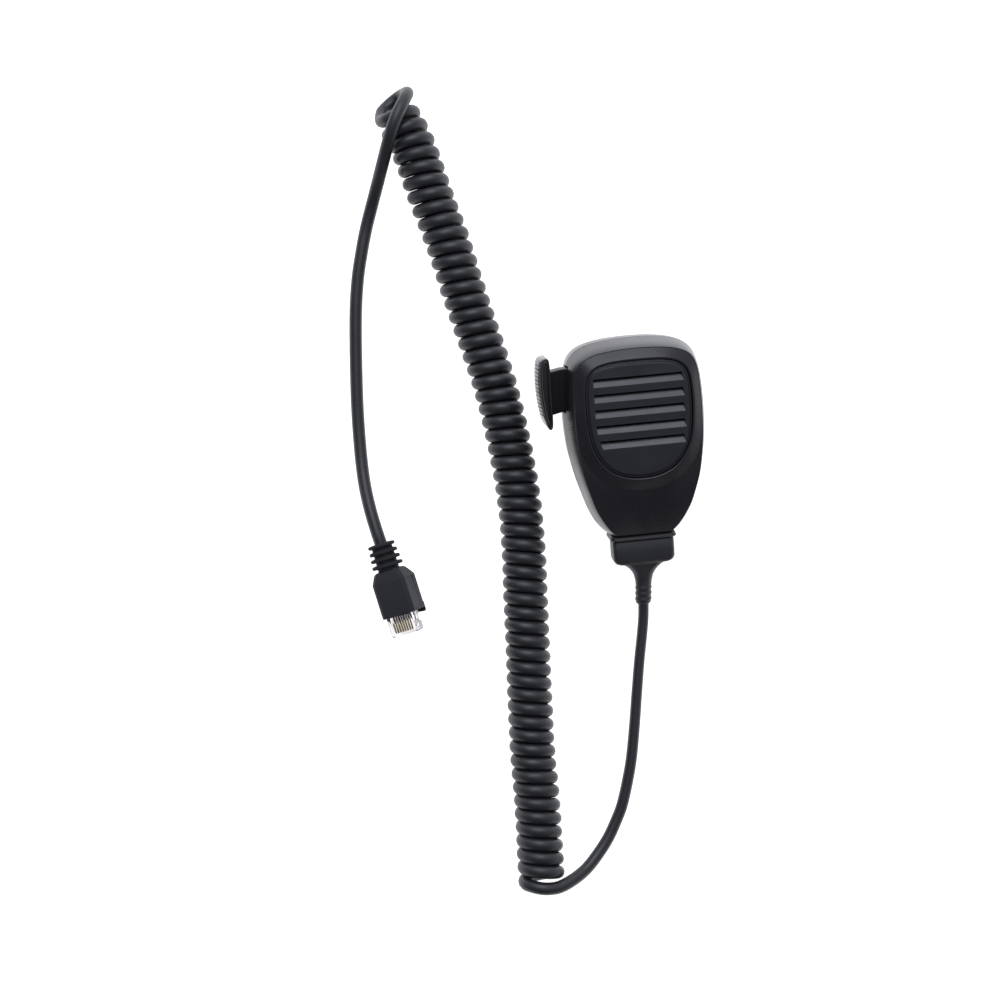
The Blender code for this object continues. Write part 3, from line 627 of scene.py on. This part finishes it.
def paddle_stem(material):
    """Stem that leans a little up the case, its flange, spring seat and nib for the switch."""
    rings = []
    for u, low, high in ((-33.2, -2.5, 14.3), (-27.8, -1.4, 15.3), (-24.2, -1.4, 15.3),
                         (-22.8, -1.4, 12.6)):
        ring = moved(rounded((high - low) / 2, 3.5, 0.5), (high + low) / 2, 0.0)
        rings.append([(u, v, w) for v, w in ring])
    made = solid("ptt_stem", MIC, *loft(rings))
    combine(made, [solid("flange", MIC, *box((-23.9, -4.4, -5.0), (-22.75, 10.4, 5.0)))], "UNION")
    seat = lathe(((3.55, -24.95), (3.55, -22.0)), 40, (SWITCH_V, 0.0), "u")
    combine(made, [solid("spring_seat", MIC, *seat)])
    nib = lathe(((1.6, -25.6), (1.6, -22.3), (1.3, -22.0)), 28, (SWITCH_V, 0.0), "u")
    combine(made, [solid("nib", MIC, *nib)], "UNION")
    finish_piece(made, material, "push_to_talk", 32.0)
    return made


# ---------------------------------------------------------------- gland, screws, hang-up button
# Rows of the gland down the case: place, half width, half depth, corner radius, shift in depth.
GLAND_ROWS = (
    (-48.9, 8.4, 5.9, 0.8, 0.0), (-50.5, 8.4, 5.9, 0.8, 0.0), (-50.6, 6.0, 4.8, 0.8, 0.0),
    (-52.45, 6.0, 4.8, 0.8, 0.0), (-52.5, 12.3, 6.5, 2.0, -0.6), (-52.7, 12.6, 6.9, 2.2, -0.6),
    (-54.0, 13.1, 7.5, 2.4, -0.6), (-54.4, 13.1, 7.55, 2.4, -0.6), (-54.7, 12.8, 7.2, 2.2, -0.55),
    (-54.75, 11.7, 4.9, 1.8, 0.0), (-55.15, 11.7, 4.9, 1.8, 0.0), (-55.2, 12.0, 5.2, 1.9, 0.0),
    (-55.45, 12.2, 5.4, 2.0, 0.0), (-60.0, 12.25, 5.4, 2.0, 0.0), (-62.7, 12.2, 5.4, 2.0, 0.0),
    (-63.8, 11.8, 5.2, 2.0, 0.0), (-64.5, 11.1, 4.9, 1.9, 0.0), (-64.9, 10.1, 4.6, 1.8, 0.0),
    (-65.05, 9.0, 4.4, 2.8, 0.0), (-65.4, 8.3, 4.3, 3.4, 0.0), (-66.2, 7.1, 4.2, 3.7, 0.0),
    (-67.3, 5.8, 4.1, 3.8, 0.0), (-68.6, 4.7, 3.9, 3.6, 0.0), (-70.2, 3.85, 3.5, 3.4, 0.0),
    (-72.6, 3.3, 3.2, 3.15, 0.0),
)
SLEEVE_LEAN = -1.05


def gland(material):
    """Rubber gland: lip under the case, block with round lower corners, funnel and ribbed sleeve."""
    sections = list(GLAND_ROWS)
    for k in range(3):
        v = -74.8 - 2.3 * k
        for down, half, deep, radius in ((0.0, 3.08, 3.08, 3.04), (0.3, 3.22, 3.2, 3.16),
                                         (0.7, 3.32, 3.3, 3.26), (1.1, 3.22, 3.2, 3.16),
                                         (1.4, 3.08, 3.08, 3.04)):
            sections.append((v - down, half, deep, radius, 0.0))
    sections += [(-81.5, 3.0, 3.0, 2.96, 0.0), (-81.9, 2.7, 2.7, 2.66, 0.0)]
    rings = []
    for v, half_x, half_w, radius, shift in sections:
        lean = SLEEVE_LEAN * neck_share(v, -66.0, 16.0) ** 1.2
        rings.append([(x + lean, v, w + CORD_W + shift) for x, w in rounded(half_x, half_w, radius, 11)])
    made = mesh_piece("gland", MIC, *loft(rings), material, "rubber", angle=50.0)
    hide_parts("strain_relief")
    return made


def case_screw(index, centre, material):
    """Pan-head screw with a cross recess, head towards the back."""
    u, v = centre
    seat = screw_seat(v) + 3.1
    low = seat - 2.1
    profile = [(0.5, low), (1.4, low + 0.05), (2.0, low + 0.3), (2.35, low + 0.8), (2.4, low + 1.2),
               (2.4, seat), (1.4, seat), (1.4, 6.2), (0.8, 6.6)]
    made = solid(f"case_screw_{index}_turned", MIC, *lathe(profile, 36, centre))
    corners, cross = ((1, 1), (-1, 1), (-1, -1), (1, -1)), []
    for a, b in ((1.5, 0.3), (0.3, 1.5)):
        top = [(u + sx * a, v + sy * b, low - 0.5) for sx, sy in corners]
        end = [(u + sx * min(a, 0.7), v + sy * min(b, 0.7), low + 1.2) for sx, sy in corners]
        cross.append(solid(f"cross_{index}_{a}", MIC, *loft([top, end])))
    combine(made, cross)
    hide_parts(f"case_screw_{index}")
    finish_piece(made, material, "microphone", 32.0)


def hang_up_button(material):
    """Turned stud with a bore for its screw."""
    profile = [(1.8, -17.3), (3.4, -17.3), (3.4, -20.9), (3.6, -21.2), (6.0, -21.4), (6.6, -21.65),
               (6.95, -22.1), (7.0, -22.6), (7.0, -23.1), (6.8, -23.5), (6.3, -23.85),
               (5.6, STUD_FACE), (2.2, STUD_FACE), (1.8, -23.6)]
    turned = lathe(profile, 72, (0.0, STUD_V), closed=True)
    made = mesh_piece("hang_up_stud", MIC, *turned, material, "nickel", angle=28.0)
    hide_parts("hang_up_button")


# ---------------------------------------------------------------- plug
MOUTH, PITCH, CHAMFER = -29.25, 1.02, 1.35
WAYS = 8


def section(y, half, low, high, edge, steps=5):
    """Rounded section of the plug between two heights."""
    return [(x, y, (low + high) / 2 + z) for x, z in rounded(half, (high - low) / 2, edge, steps)]


def plug_boot(material):
    """Moulded boot: finned tail, chamfered shoulders, hood and latch guard."""
    block = [section(*row, 1) for row in (
        (-11.0, 4.6, -5.0, 4.2, 1.2), (-11.3, 5.0, -5.4, 4.6, 1.2), (-11.6, 5.35, -5.8, 4.95, 1.25),
        (-12.0, 5.6, -6.3, 5.2, CHAMFER), (-15.1, 6.85, -9.4, 6.15, CHAMFER),
        (-15.5, 6.9, -9.6, 6.2, CHAMFER), (-28.7, 6.9, -9.6, 6.2, CHAMFER),
        (-29.1, 6.8, -9.5, 6.1, CHAMFER), (MOUTH, 6.6, -9.3, 5.9, CHAMFER - 0.1))]
    made = solid("boot", PLUG, *loft(block))
    fins = [(0.0, 3.3, 3.3)]
    for k in range(4):
        y, rib = -0.1 - 2.7 * k, 5.5 + 0.27 * k
        flat = rib * 0.94
        fins += [(y - 0.12, rib - 0.4, flat - 0.3), (y - 0.35, rib - 0.1, flat - 0.05), (y - 0.8, rib, flat),
                 (y - 1.25, rib - 0.1, flat - 0.05), (y - 1.5, rib - 0.4, flat - 0.3),
                 (y - 1.6, 4.15, flat - 0.95), (y - 2.55, 4.15, flat - 0.95)]
    fins += [(-11.0, 4.6, 4.6), (-12.6, 4.6, 4.6)]
    tail = [[(rx * x, y, rz * z) for x, z in circle(1.0, 56)] for y, rx, rz in fins]
    guard = [section(y, 6.85, -9.55, -7.9, 0.6) for y in (-27.0, -30.5)]
    guard.append(section(-30.9, 6.5, -9.3, -8.1, 0.5))
    guard = [[(x, y - 0.85 * max(0.0, (5.4 - x) / 12.0) * (y + 29.0), z) if y < -29.0 else (x, y, z)
              for x, y, z in ring] for ring in guard]
    combine(made, [solid("fins", PLUG, *loft(tail)), solid("guard", PLUG, *loft(guard))], "UNION")
    cutters = [solid("pocket", PLUG, *box((-6.15, -34.0, -3.0), (6.15, -16.2, 4.2))),
               solid("room", PLUG, *box((-3.8, -34.0, -7.9), (3.8, -18.0, -2.0)))]
    for side in (-1, 1):
        a, b = sorted((side * 6.55, side * 7.6))
        cutters.append(solid(f"seam_{side}", PLUG, *box((a, -32.0, -4.85), (b, -15.8, -4.45))))
        a, b = sorted((side * 6.1, side * 7.6))
        cutters.append(solid(f"pit_{side}", PLUG, *box((a, -17.0, -4.9), (b, -15.6, -3.9))))
    combine(made, cutters)
    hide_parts("plug_boot")
    finish_piece(made, material, "microphone", 26.0)
    return made


def way_x(k):
    """Place across the plug of contact k."""
    return (k - (WAYS - 1) / 2) * PITCH


def gathered(lofts):
    """Several lofts as one list of points and faces."""
    points, faces = [], []
    for more, skin in lofts:
        faces += [tuple(i + len(points) for i in face) for face in skin]
        points += more
    return points, faces


def plug_body(clear):
    """Clear body with one open slot for each blade and a chamfered nose."""
    rings = [section(y, 5.84 - d, -2.7 + d, 3.9 - d, 0.3, 3) for y, d in
             ((NOSE, 0.4), (NOSE + 0.35, 0.08), (NOSE + 0.7, 0.0), (-17.0, 0.0), (-16.5, 0.3))]
    made = solid("plug_clear", PLUG, *loft(rings))
    cutters = []
    for k in range(WAYS):
        x = way_x(k)
        slot = box((x - 0.41, NOSE + 0.95, 2.55), (x + 0.41, NOSE + 5.7, 6.0))
        cutters.append(solid(f"slot_{k}", PLUG, *slot))
    cutters.append(solid("wire_room", PLUG, *box((-4.3, -32.6, -0.4), (4.3, -10.0, 1.9))))
    cutters.append(solid("crimp", PLUG, *box((-3.6, -28.4, 2.3), (3.6, -24.6, 6.0))))
    combine(made, cutters)
    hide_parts("plug_body")
    finish_piece(made, clear, "microphone", 25.0)
    return made


def plug_blades(gold):
    """Eight gold blades with rounded shoulders."""
    side = ((NOSE + 1.2, 2.75), (NOSE + 5.4, 2.75), (NOSE + 5.4, 3.45), (NOSE + 5.15, 3.66),
            (NOSE + 4.7, 3.74), (NOSE + 1.9, 3.74), (NOSE + 1.45, 3.66), (NOSE + 1.2, 3.45))
    blades = []
    for k in range(WAYS):
        x = way_x(k)
        blades.append(loft([[(x + dx, y, z - (less if z > 3 else 0)) for y, z in side]
                            for dx, less in ((-0.34, 0.05), (-0.27, 0.0), (0.27, 0.0), (0.34, 0.05))]))
    made = mesh_piece("plug_blades", PLUG, *gathered(blades), gold, "gold", angle=30.0)
    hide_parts(*[f"plug_contact_{k + 1}" for k in range(WAYS)])
    return made


def conductors(name, first, material):
    """Four of the eight wires that run from the cord to the blades."""
    wires = []
    for k in range(first, WAYS, 2):
        x = way_x(k)
        wires.append(loft([[(a, y, z) for a, z in circle(r, 14, (x * spread, 0.8))]
                           for y, r, spread in ((-31.9, 0.28, 1.0), (-31.7, 0.42, 1.0), (-24.0, 0.42, 1.0),
                                                (-17.2, 0.42, 0.8))]))
    return mesh_piece(name, PLUG, *gathered(wires), material, "jacket", angle=50.0)


def plug_latch(clear):
    """Springy tongue from the nose back under the boot."""
    rings = []
    for y, half, top in ((-36.95, 2.6, -3.15), (-36.8, 3.0, -3.1), (-36.0, 3.0, -3.1),
                         (-33.2, 3.0, -3.7), (-30.7, 3.0, -4.38), (-30.3, 1.75, -4.5),
                         (-26.0, 1.7, -5.6), (-22.0, 1.7, -6.6), (-21.6, 1.4, -6.7)):
        rings.append([(x, y, top - 0.45 + z) for x, z in rounded(half, 0.45, 0.18, 3)])
    made = mesh_piece("latch_tongue", PLUG, *loft(rings), clear, "clear", "latch", angle=30.0)
    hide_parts("plug_latch")
    return made


# ---------------------------------------------------------------- materials
class Shade:
    """Short hands for building one material's nodes."""

    def __init__(self, name, base, rough, metallic=0.0, specular=0.5):
        self.material = bpy.data.materials.new(name)
        self.material.use_nodes = True
        self.tree = self.material.node_tree
        self.bsdf = self.tree.nodes["Principled BSDF"]
        self.bsdf.inputs["Metallic"].default_value = metallic
        self.bsdf.inputs["Specular IOR Level"].default_value = specular
        self.material.diffuse_color = (*base, 1.0)
        self.place = self.node("ShaderNodeTexCoord").outputs["Object"]

    def node(self, kind, **settings):
        made = self.tree.nodes.new(kind)
        for key, value in settings.items():
            setattr(made, key, value)
        return made

    def link(self, start, end):
        self.tree.links.new(start, end)

    def noise(self, scale, detail=4.0, rough=0.55, stretch=None):
        made = self.node("ShaderNodeTexNoise")
        made.inputs["Scale"].default_value = scale
        made.inputs["Detail"].default_value = detail
        made.inputs["Roughness"].default_value = rough
        source = self.place
        if stretch:
            turn = self.node("ShaderNodeMapping")
            turn.inputs["Scale"].default_value = stretch
            self.link(source, turn.inputs["Vector"])
            source = turn.outputs["Vector"]
        self.link(source, made.inputs["Vector"])
        return made.outputs["Fac"]

    def ranged(self, value, low, high, start=0.3, end=0.7):
        made = self.node("ShaderNodeMapRange")
        for key, number in (("From Min", start), ("From Max", end), ("To Min", low), ("To Max", high)):
            made.inputs[key].default_value = number
        self.link(value, made.inputs["Value"])
        return made.outputs["Result"]

    def mixed(self, factor, first, second):
        made = self.node("ShaderNodeMix", data_type="RGBA")
        self.link(factor, made.inputs["Factor"])
        for socket, value in ((made.inputs["A"], first), (made.inputs["B"], second)):
            if isinstance(value, tuple):
                socket.default_value = (*value, 1.0)
            else:
                self.link(value, socket)
        return made.outputs["Result"]

    def bump(self, height, strength, distance, before=None):
        made = self.node("ShaderNodeBump")
        made.inputs["Strength"].default_value = strength
        made.inputs["Distance"].default_value = distance
        self.link(height, made.inputs["Height"])
        if before:
            self.link(before, made.inputs["Normal"])
        return made.outputs["Normal"]


def tint(colour, share):
    return tuple(min(1.0, c * share) for c in colour)


GRAIN_DEPTH, CLOUD_DEPTH, GLOSS_SPREAD = 0.00003, 0.00006, 0.045


def moulded(name, base, rough, grain=2600.0, strength=0.35, specular=0.5, wear=1.6, ior=1.5):
    """Moulded plastic or rubber: spark grain, cloudy gloss, faint mottling and polished edges."""
    s = Shade(name, base, rough, 0.0, specular)
    s.bsdf.inputs["IOR"].default_value = ior
    clouds, grains = s.noise(70.0), s.noise(grain, 3.0, 0.6)
    colour = s.mixed(s.ranged(clouds, 0.0, 1.0), tint(base, 0.88), tint(base, 1.14))
    specks = s.ranged(s.noise(900.0, 2.0), 0.0, 0.35, 0.70, 0.80)
    colour = s.mixed(specks, colour, tint(base, 1.9))
    edges = s.ranged(s.node("ShaderNodeNewGeometry").outputs["Pointiness"], 0.0, 0.6, 0.515, 0.60)
    colour = s.mixed(edges, colour, tint(base, wear))
    s.link(colour, s.bsdf.inputs["Base Color"])
    gloss = s.node("ShaderNodeMath", operation="ADD")
    s.link(s.ranged(clouds, rough - GLOSS_SPREAD, rough + GLOSS_SPREAD), gloss.inputs[0])
    s.link(s.ranged(grains, -0.03, 0.03), gloss.inputs[1])
    s.link(gloss.outputs["Value"], s.bsdf.inputs["Roughness"])
    flow = s.bump(clouds, 0.12, CLOUD_DEPTH)
    s.link(s.bump(grains, strength, GRAIN_DEPTH, flow), s.bsdf.inputs["Normal"])
    return s.material


def metal(name, base, rough, stretch=(1.0, 1.0, 1.0), scale=900.0):
    """Plated metal with fine turning or rolling marks and dull patches."""
    s = Shade(name, base, rough, 1.0)
    marks, patches = s.noise(scale, 5.0, 0.6, stretch), s.noise(120.0)
    colour = s.mixed(s.ranged(patches, 0.0, 1.0), tint(base, 0.86), tint(base, 1.05))
    s.link(colour, s.bsdf.inputs["Base Color"])
    s.link(s.ranged(marks, rough - 0.08, rough + 0.12), s.bsdf.inputs["Roughness"])
    s.link(s.bump(marks, 0.25, 0.00002), s.bsdf.inputs["Normal"])
    return s.material


def clear_plastic(name):
    """Clear moulded plastic with faint flow lines."""
    s = Shade(name, (0.93, 0.93, 0.92), 0.06, 0.0, 0.5)
    s.bsdf.inputs["Transmission Weight"].default_value = 1.0
    s.bsdf.inputs["IOR"].default_value = 1.52
    clouds, flow = s.noise(300.0), s.noise(1500.0, 2.0, 0.5, (1.0, 0.3, 1.0))
    colour = s.mixed(s.ranged(clouds, 0.0, 1.0), (0.96, 0.95, 0.95), (0.88, 0.86, 0.87))
    s.link(colour, s.bsdf.inputs["Base Color"])
    s.link(s.ranged(clouds, 0.03, 0.14), s.bsdf.inputs["Roughness"])
    s.link(s.bump(flow, 0.12, 0.00004), s.bsdf.inputs["Normal"])
    return s.material


def woven(name, base):
    """Fine dust cloth: two crossed sets of threads."""
    s = Shade(name, base, 0.9, 0.0, 0.2)
    waves = []
    for direction in ("X", "Y"):
        wave = s.node("ShaderNodeTexWave", bands_direction=direction)
        wave.inputs["Scale"].default_value = 900.0
        wave.inputs["Distortion"].default_value = 0.6
        s.link(s.place, wave.inputs["Vector"])
        waves.append(wave.outputs["Fac"])
    cross = s.node("ShaderNodeMath", operation="MULTIPLY")
    s.link(waves[0], cross.inputs[0])
    s.link(waves[1], cross.inputs[1])
    s.link(s.mixed(cross.outputs["Value"], tint(base, 0.5), tint(base, 1.8)), s.bsdf.inputs["Base Color"])
    s.link(s.ranged(cross.outputs["Value"], 0.8, 0.98, 0.0, 1.0), s.bsdf.inputs["Roughness"])
    s.link(s.bump(cross.outputs["Value"], 0.6, 0.0001), s.bsdf.inputs["Normal"])
    return s.material


def laminate(name, base, copper):
    """Circuit board: solder mask over tracks, with bare pads."""
    s = Shade(name, base, 0.4)
    tracks = s.node("ShaderNodeTexBrick", offset=0.35)
    for key, number in (("Scale", 160.0), ("Mortar Size", 0.06), ("Brick Width", 0.9), ("Row Height", 0.32)):
        tracks.inputs[key].default_value = number
    s.link(s.place, tracks.inputs["Vector"])
    pads = s.node("ShaderNodeTexVoronoi")
    pads.inputs["Scale"].default_value = 420.0
    s.link(s.place, pads.inputs["Vector"])
    mask = s.mixed(tracks.outputs["Fac"], tint(base, 0.8), tint(base, 1.8))
    pad = s.ranged(pads.outputs["Distance"], 1.0, 0.0, 0.10, 0.16)
    s.link(s.mixed(pad, mask, copper), s.bsdf.inputs["Base Color"])
    s.link(s.ranged(s.noise(500.0), 0.3, 0.5), s.bsdf.inputs["Roughness"])
    s.link(s.bump(tracks.outputs["Fac"], 0.3, 0.00004), s.bsdf.inputs["Normal"])
    return s.material


def make_materials():
    """Every material by the name that the pieces and CARRIED use."""
    return {
        "case": moulded("case_satin", (0.0130, 0.0130, 0.0160), 0.30, strength=0.22, wear=2.0, ior=1.41),
        "panel": moulded("panel_satin", (0.0135, 0.0140, 0.0180), 0.34, wear=2.4),
        "paddle": moulded("paddle_satin", (0.0115, 0.0115, 0.0135), 0.20, wear=2.2),
        # Stem: black plastic like the case, with its colour darkened much further as painted shade for the gap
        # between the paddle and the case wall.
        "stem": moulded("stem_black_painted_shade", (0.0035, 0.0035, 0.0042), 0.42, specular=0.22, wear=1.5),
        "rubber": moulded("rubber_matt", (0.0145, 0.0148, 0.0185), 0.46, 3400.0, 0.45, wear=1.5),
        "jacket": moulded("jacket_vinyl", (0.0125, 0.0130, 0.0165), 0.44, 1500.0, 0.3, wear=1.2),
        "boot": moulded("boot_vinyl", (0.0200, 0.0203, 0.0230), 0.55, 2400.0, 0.4, 0.4, 2.4, ior=1.16),
        "switch_black": moulded("switch_nylon", (0.014, 0.014, 0.015), 0.42),
        "ivory": moulded("ivory_nylon", (0.66, 0.61, 0.48), 0.42, wear=1.05),
        "wire_dark": moulded("wire_dark", (0.05, 0.035, 0.03), 0.4),
        "wire_pale": moulded("wire_pale", (0.35, 0.33, 0.30), 0.4, wear=1.1),
        "cloth": woven("dust_cloth", (0.01, 0.01, 0.011)),
        "board": laminate("board_laminate", (0.02, 0.12, 0.05), (0.75, 0.55, 0.3)),
        "steel": metal("zinc_plated", (0.60, 0.60, 0.62), 0.30),
        "nickel": metal("nickel_turned", (0.70, 0.68, 0.64), 0.20, (1.0, 1.0, 8.0), 700.0),
        "gold": metal("contact_gold", (0.50, 0.42, 0.22), 0.36, (1.0, 6.0, 1.0), 1800.0),
        "clear": clear_plastic("clear_plastic"),
    }


# Nodes of the CAD that stay as they are, with the material that each gets.
CARRIED = {
    "dust_cloth": "cloth", "mic_element": "steel", "element_cup": "rubber", "circuit_board": "board",
    "board_screw_1": "steel", "board_screw_2": "steel", "ptt_spring": "steel", "ptt_switch": "switch_black",
    "ptt_plunger": "ivory", "cord_connector": "ivory", "inner_cord": "jacket", "cord_clamp": "steel",
    "clamp_screw_1": "steel", "clamp_screw_2": "steel", "hang_up_plate": "steel", "hang_up_screw": "steel",
}


# ---------------------------------------------------------------- floor and light
def add_floor(half=3.0):
    """Pale plain floor, in metres."""
    mesh = bpy.data.meshes.new("floor")
    corners = [(-half, -half, 0), (half, -half, 0), (half, half, 0), (-half, half, 0)]
    mesh.from_pydata(corners, [], [(0, 1, 2, 3)])
    floor = link(bpy.data.objects.new("floor", mesh))
    s = Shade("floor_pale", (0.86, 0.86, 0.86), 0.9, 0.0, 0.1)
    s.bsdf.inputs["Roughness"].default_value = 0.9
    colour = s.mixed(s.ranged(s.noise(3.0), 0.0, 1.0), (0.85, 0.85, 0.85), (0.87, 0.87, 0.87))
    s.link(colour, s.bsdf.inputs["Base Color"])
    s.bsdf.inputs["Emission Color"].default_value = (1.0, 1.0, 1.0, 1.0)
    s.bsdf.inputs["Emission Strength"].default_value = 0.95
    mesh.materials.append(s.material)


def add_light():
    """Low walls, bright beyond the top of the case and dim behind the camera, and a soft box."""
    world = bpy.data.worlds.new("studio")
    bpy.context.scene.world = world
    world.use_nodes = True
    tree = world.node_tree
    place = tree.nodes.new("ShaderNodeTexCoord")
    parts = tree.nodes.new("ShaderNodeSeparateXYZ")
    ramp = tree.nodes.new("ShaderNodeValToRGB")
    tree.links.new(place.outputs["Generated"], parts.inputs["Vector"])
    tree.links.new(parts.outputs["Z"], ramp.inputs["Fac"])
    for i, (at, level) in enumerate(WALL_LEVELS):
        inner = 0 < i < len(WALL_LEVELS) - 1
        stop = ramp.color_ramp.elements.new(at) if inner else ramp.color_ramp.elements[0 if i == 0 else -1]
        stop.position = at
        stop.color = tuple(level * c for c in LIGHT_TINT) + (1.0,)
    side = tree.nodes.new("ShaderNodeVectorMath")
    side.operation = "DOT_PRODUCT"
    side.inputs[1].default_value = BRIGHT_SIDE
    tree.links.new(place.outputs["Generated"], side.inputs[0])
    level = tree.nodes.new("ShaderNodeMapRange")
    for key, number in (("From Min", -0.4), ("From Max", 0.9), ("To Min", 0.18), ("To Max", 1.0)):
        level.inputs[key].default_value = number
    tree.links.new(side.outputs["Value"], level.inputs["Value"])
    tree.links.new(level.outputs["Result"], tree.nodes["Background"].inputs["Strength"])
    tree.links.new(ramp.outputs["Color"], tree.nodes["Background"].inputs["Color"])
    data = bpy.data.lights.new("soft_box", "AREA")
    data.shape = "SQUARE"
    data.size = 1.0
    data.energy = SOFT_BOX_POWER
    data.color = LIGHT_TINT
    lamp = link(bpy.data.objects.new("soft_box", data))
    away = Vector(SOFT_BOX_SIDE).normalized()
    lamp.location = Vector((-0.02, 0.0, 0.02)) + away * 1.3
    lamp.rotation_mode = "QUATERNION"
    lamp.rotation_quaternion = away.to_track_quat("Z", "Y")


def main():
    add_camera()
    looks = make_materials()
    cord, length, start = add_cord(looks["jacket"])
    case_front(looks["case"])
    case_rear(looks["case"])
    grille_panel(looks["panel"])
    paddle(looks["paddle"])
    paddle_stem(looks["stem"])
    relief = gland(looks["rubber"])
    for i, centre in enumerate(CASE_SCREWS):
        case_screw(i + 1, centre, looks["steel"])
    hang_up_button(looks["nickel"])
    boot = plug_boot(looks["boot"])
    ends = [boot, plug_body(looks["clear"]), plug_blades(looks["gold"]), plug_latch(looks["clear"]),
            conductors("conductors_dark", 0, looks["wire_dark"]),
            conductors("conductors_pale", 1, looks["wire_pale"])]
    for name, look in CARRIED.items():
        node = frame["nodes"][name]
        node.data.materials.clear()
        node.data.materials.append(looks[look])
    add_floor()
    add_light()
    bpy.context.scene.view_settings.view_transform = "Standard"


main()
